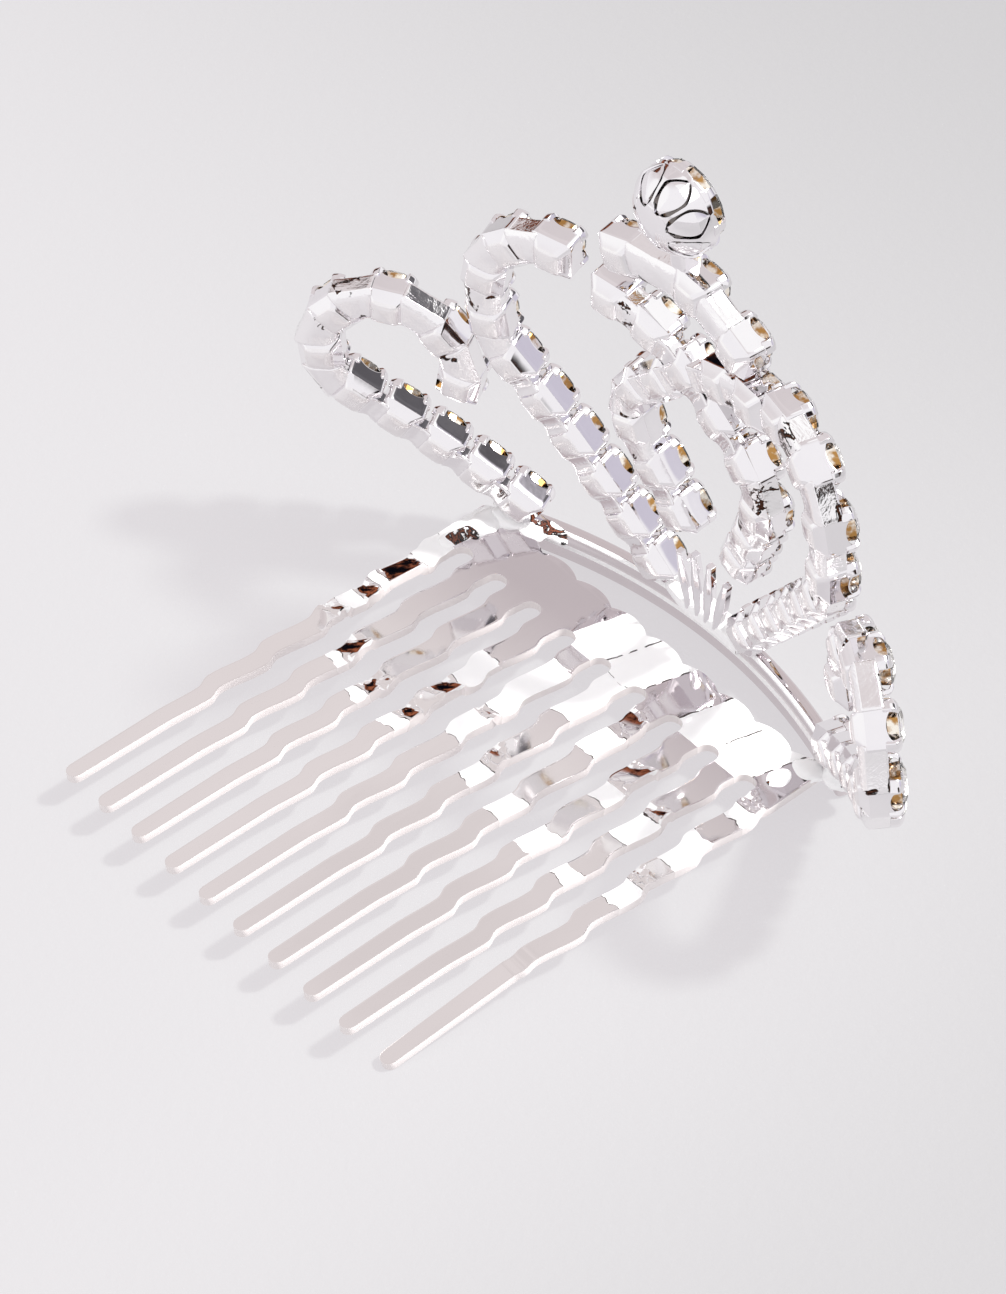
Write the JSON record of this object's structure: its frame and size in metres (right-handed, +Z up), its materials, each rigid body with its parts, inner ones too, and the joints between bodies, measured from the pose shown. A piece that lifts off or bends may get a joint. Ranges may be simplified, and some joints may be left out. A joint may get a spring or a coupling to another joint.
{
  "type": "tiara comb",
  "caption": "Mini tiara of cup-set clear crystals in silver-coloured metal, curved and soldered upright on a wavy-toothed comb that slides into the hair.",
  "frame": {"origin": "centre of the footprint, on the surface that the comb rests on", "axes": "X runs along the comb and the tiara, +Y points away from the comb's teeth to the crystals' fronts, +Z is up"},
  "size_m": [0.0592, 0.0432, 0.0444],
  "materials": {
    "silver_plate": "bright silver-coloured plating on cast cups and links",
    "comb_plate": "bright plated stamped sheet",
    "crystal": "clear cut crystal with an amber reflecting back"
  },
  "bodies": {
    "root": {"comb": "comb_plate", "band": "silver_plate", "left_scroll": "silver_plate", "right_scroll": "silver_plate", "left_arch": "silver_plate", "right_arch": "silver_plate", "centre_loop": "silver_plate", "crest": "silver_plate", "centre_setting": "silver_plate", "left_scroll_stones": "crystal", "right_scroll_stones": "crystal", "left_arch_stones": "crystal", "right_arch_stones": "crystal", "centre_loop_stones": "crystal", "crest_stones": "crystal", "centre_stone": "crystal"}
  },
  "joints": []
}
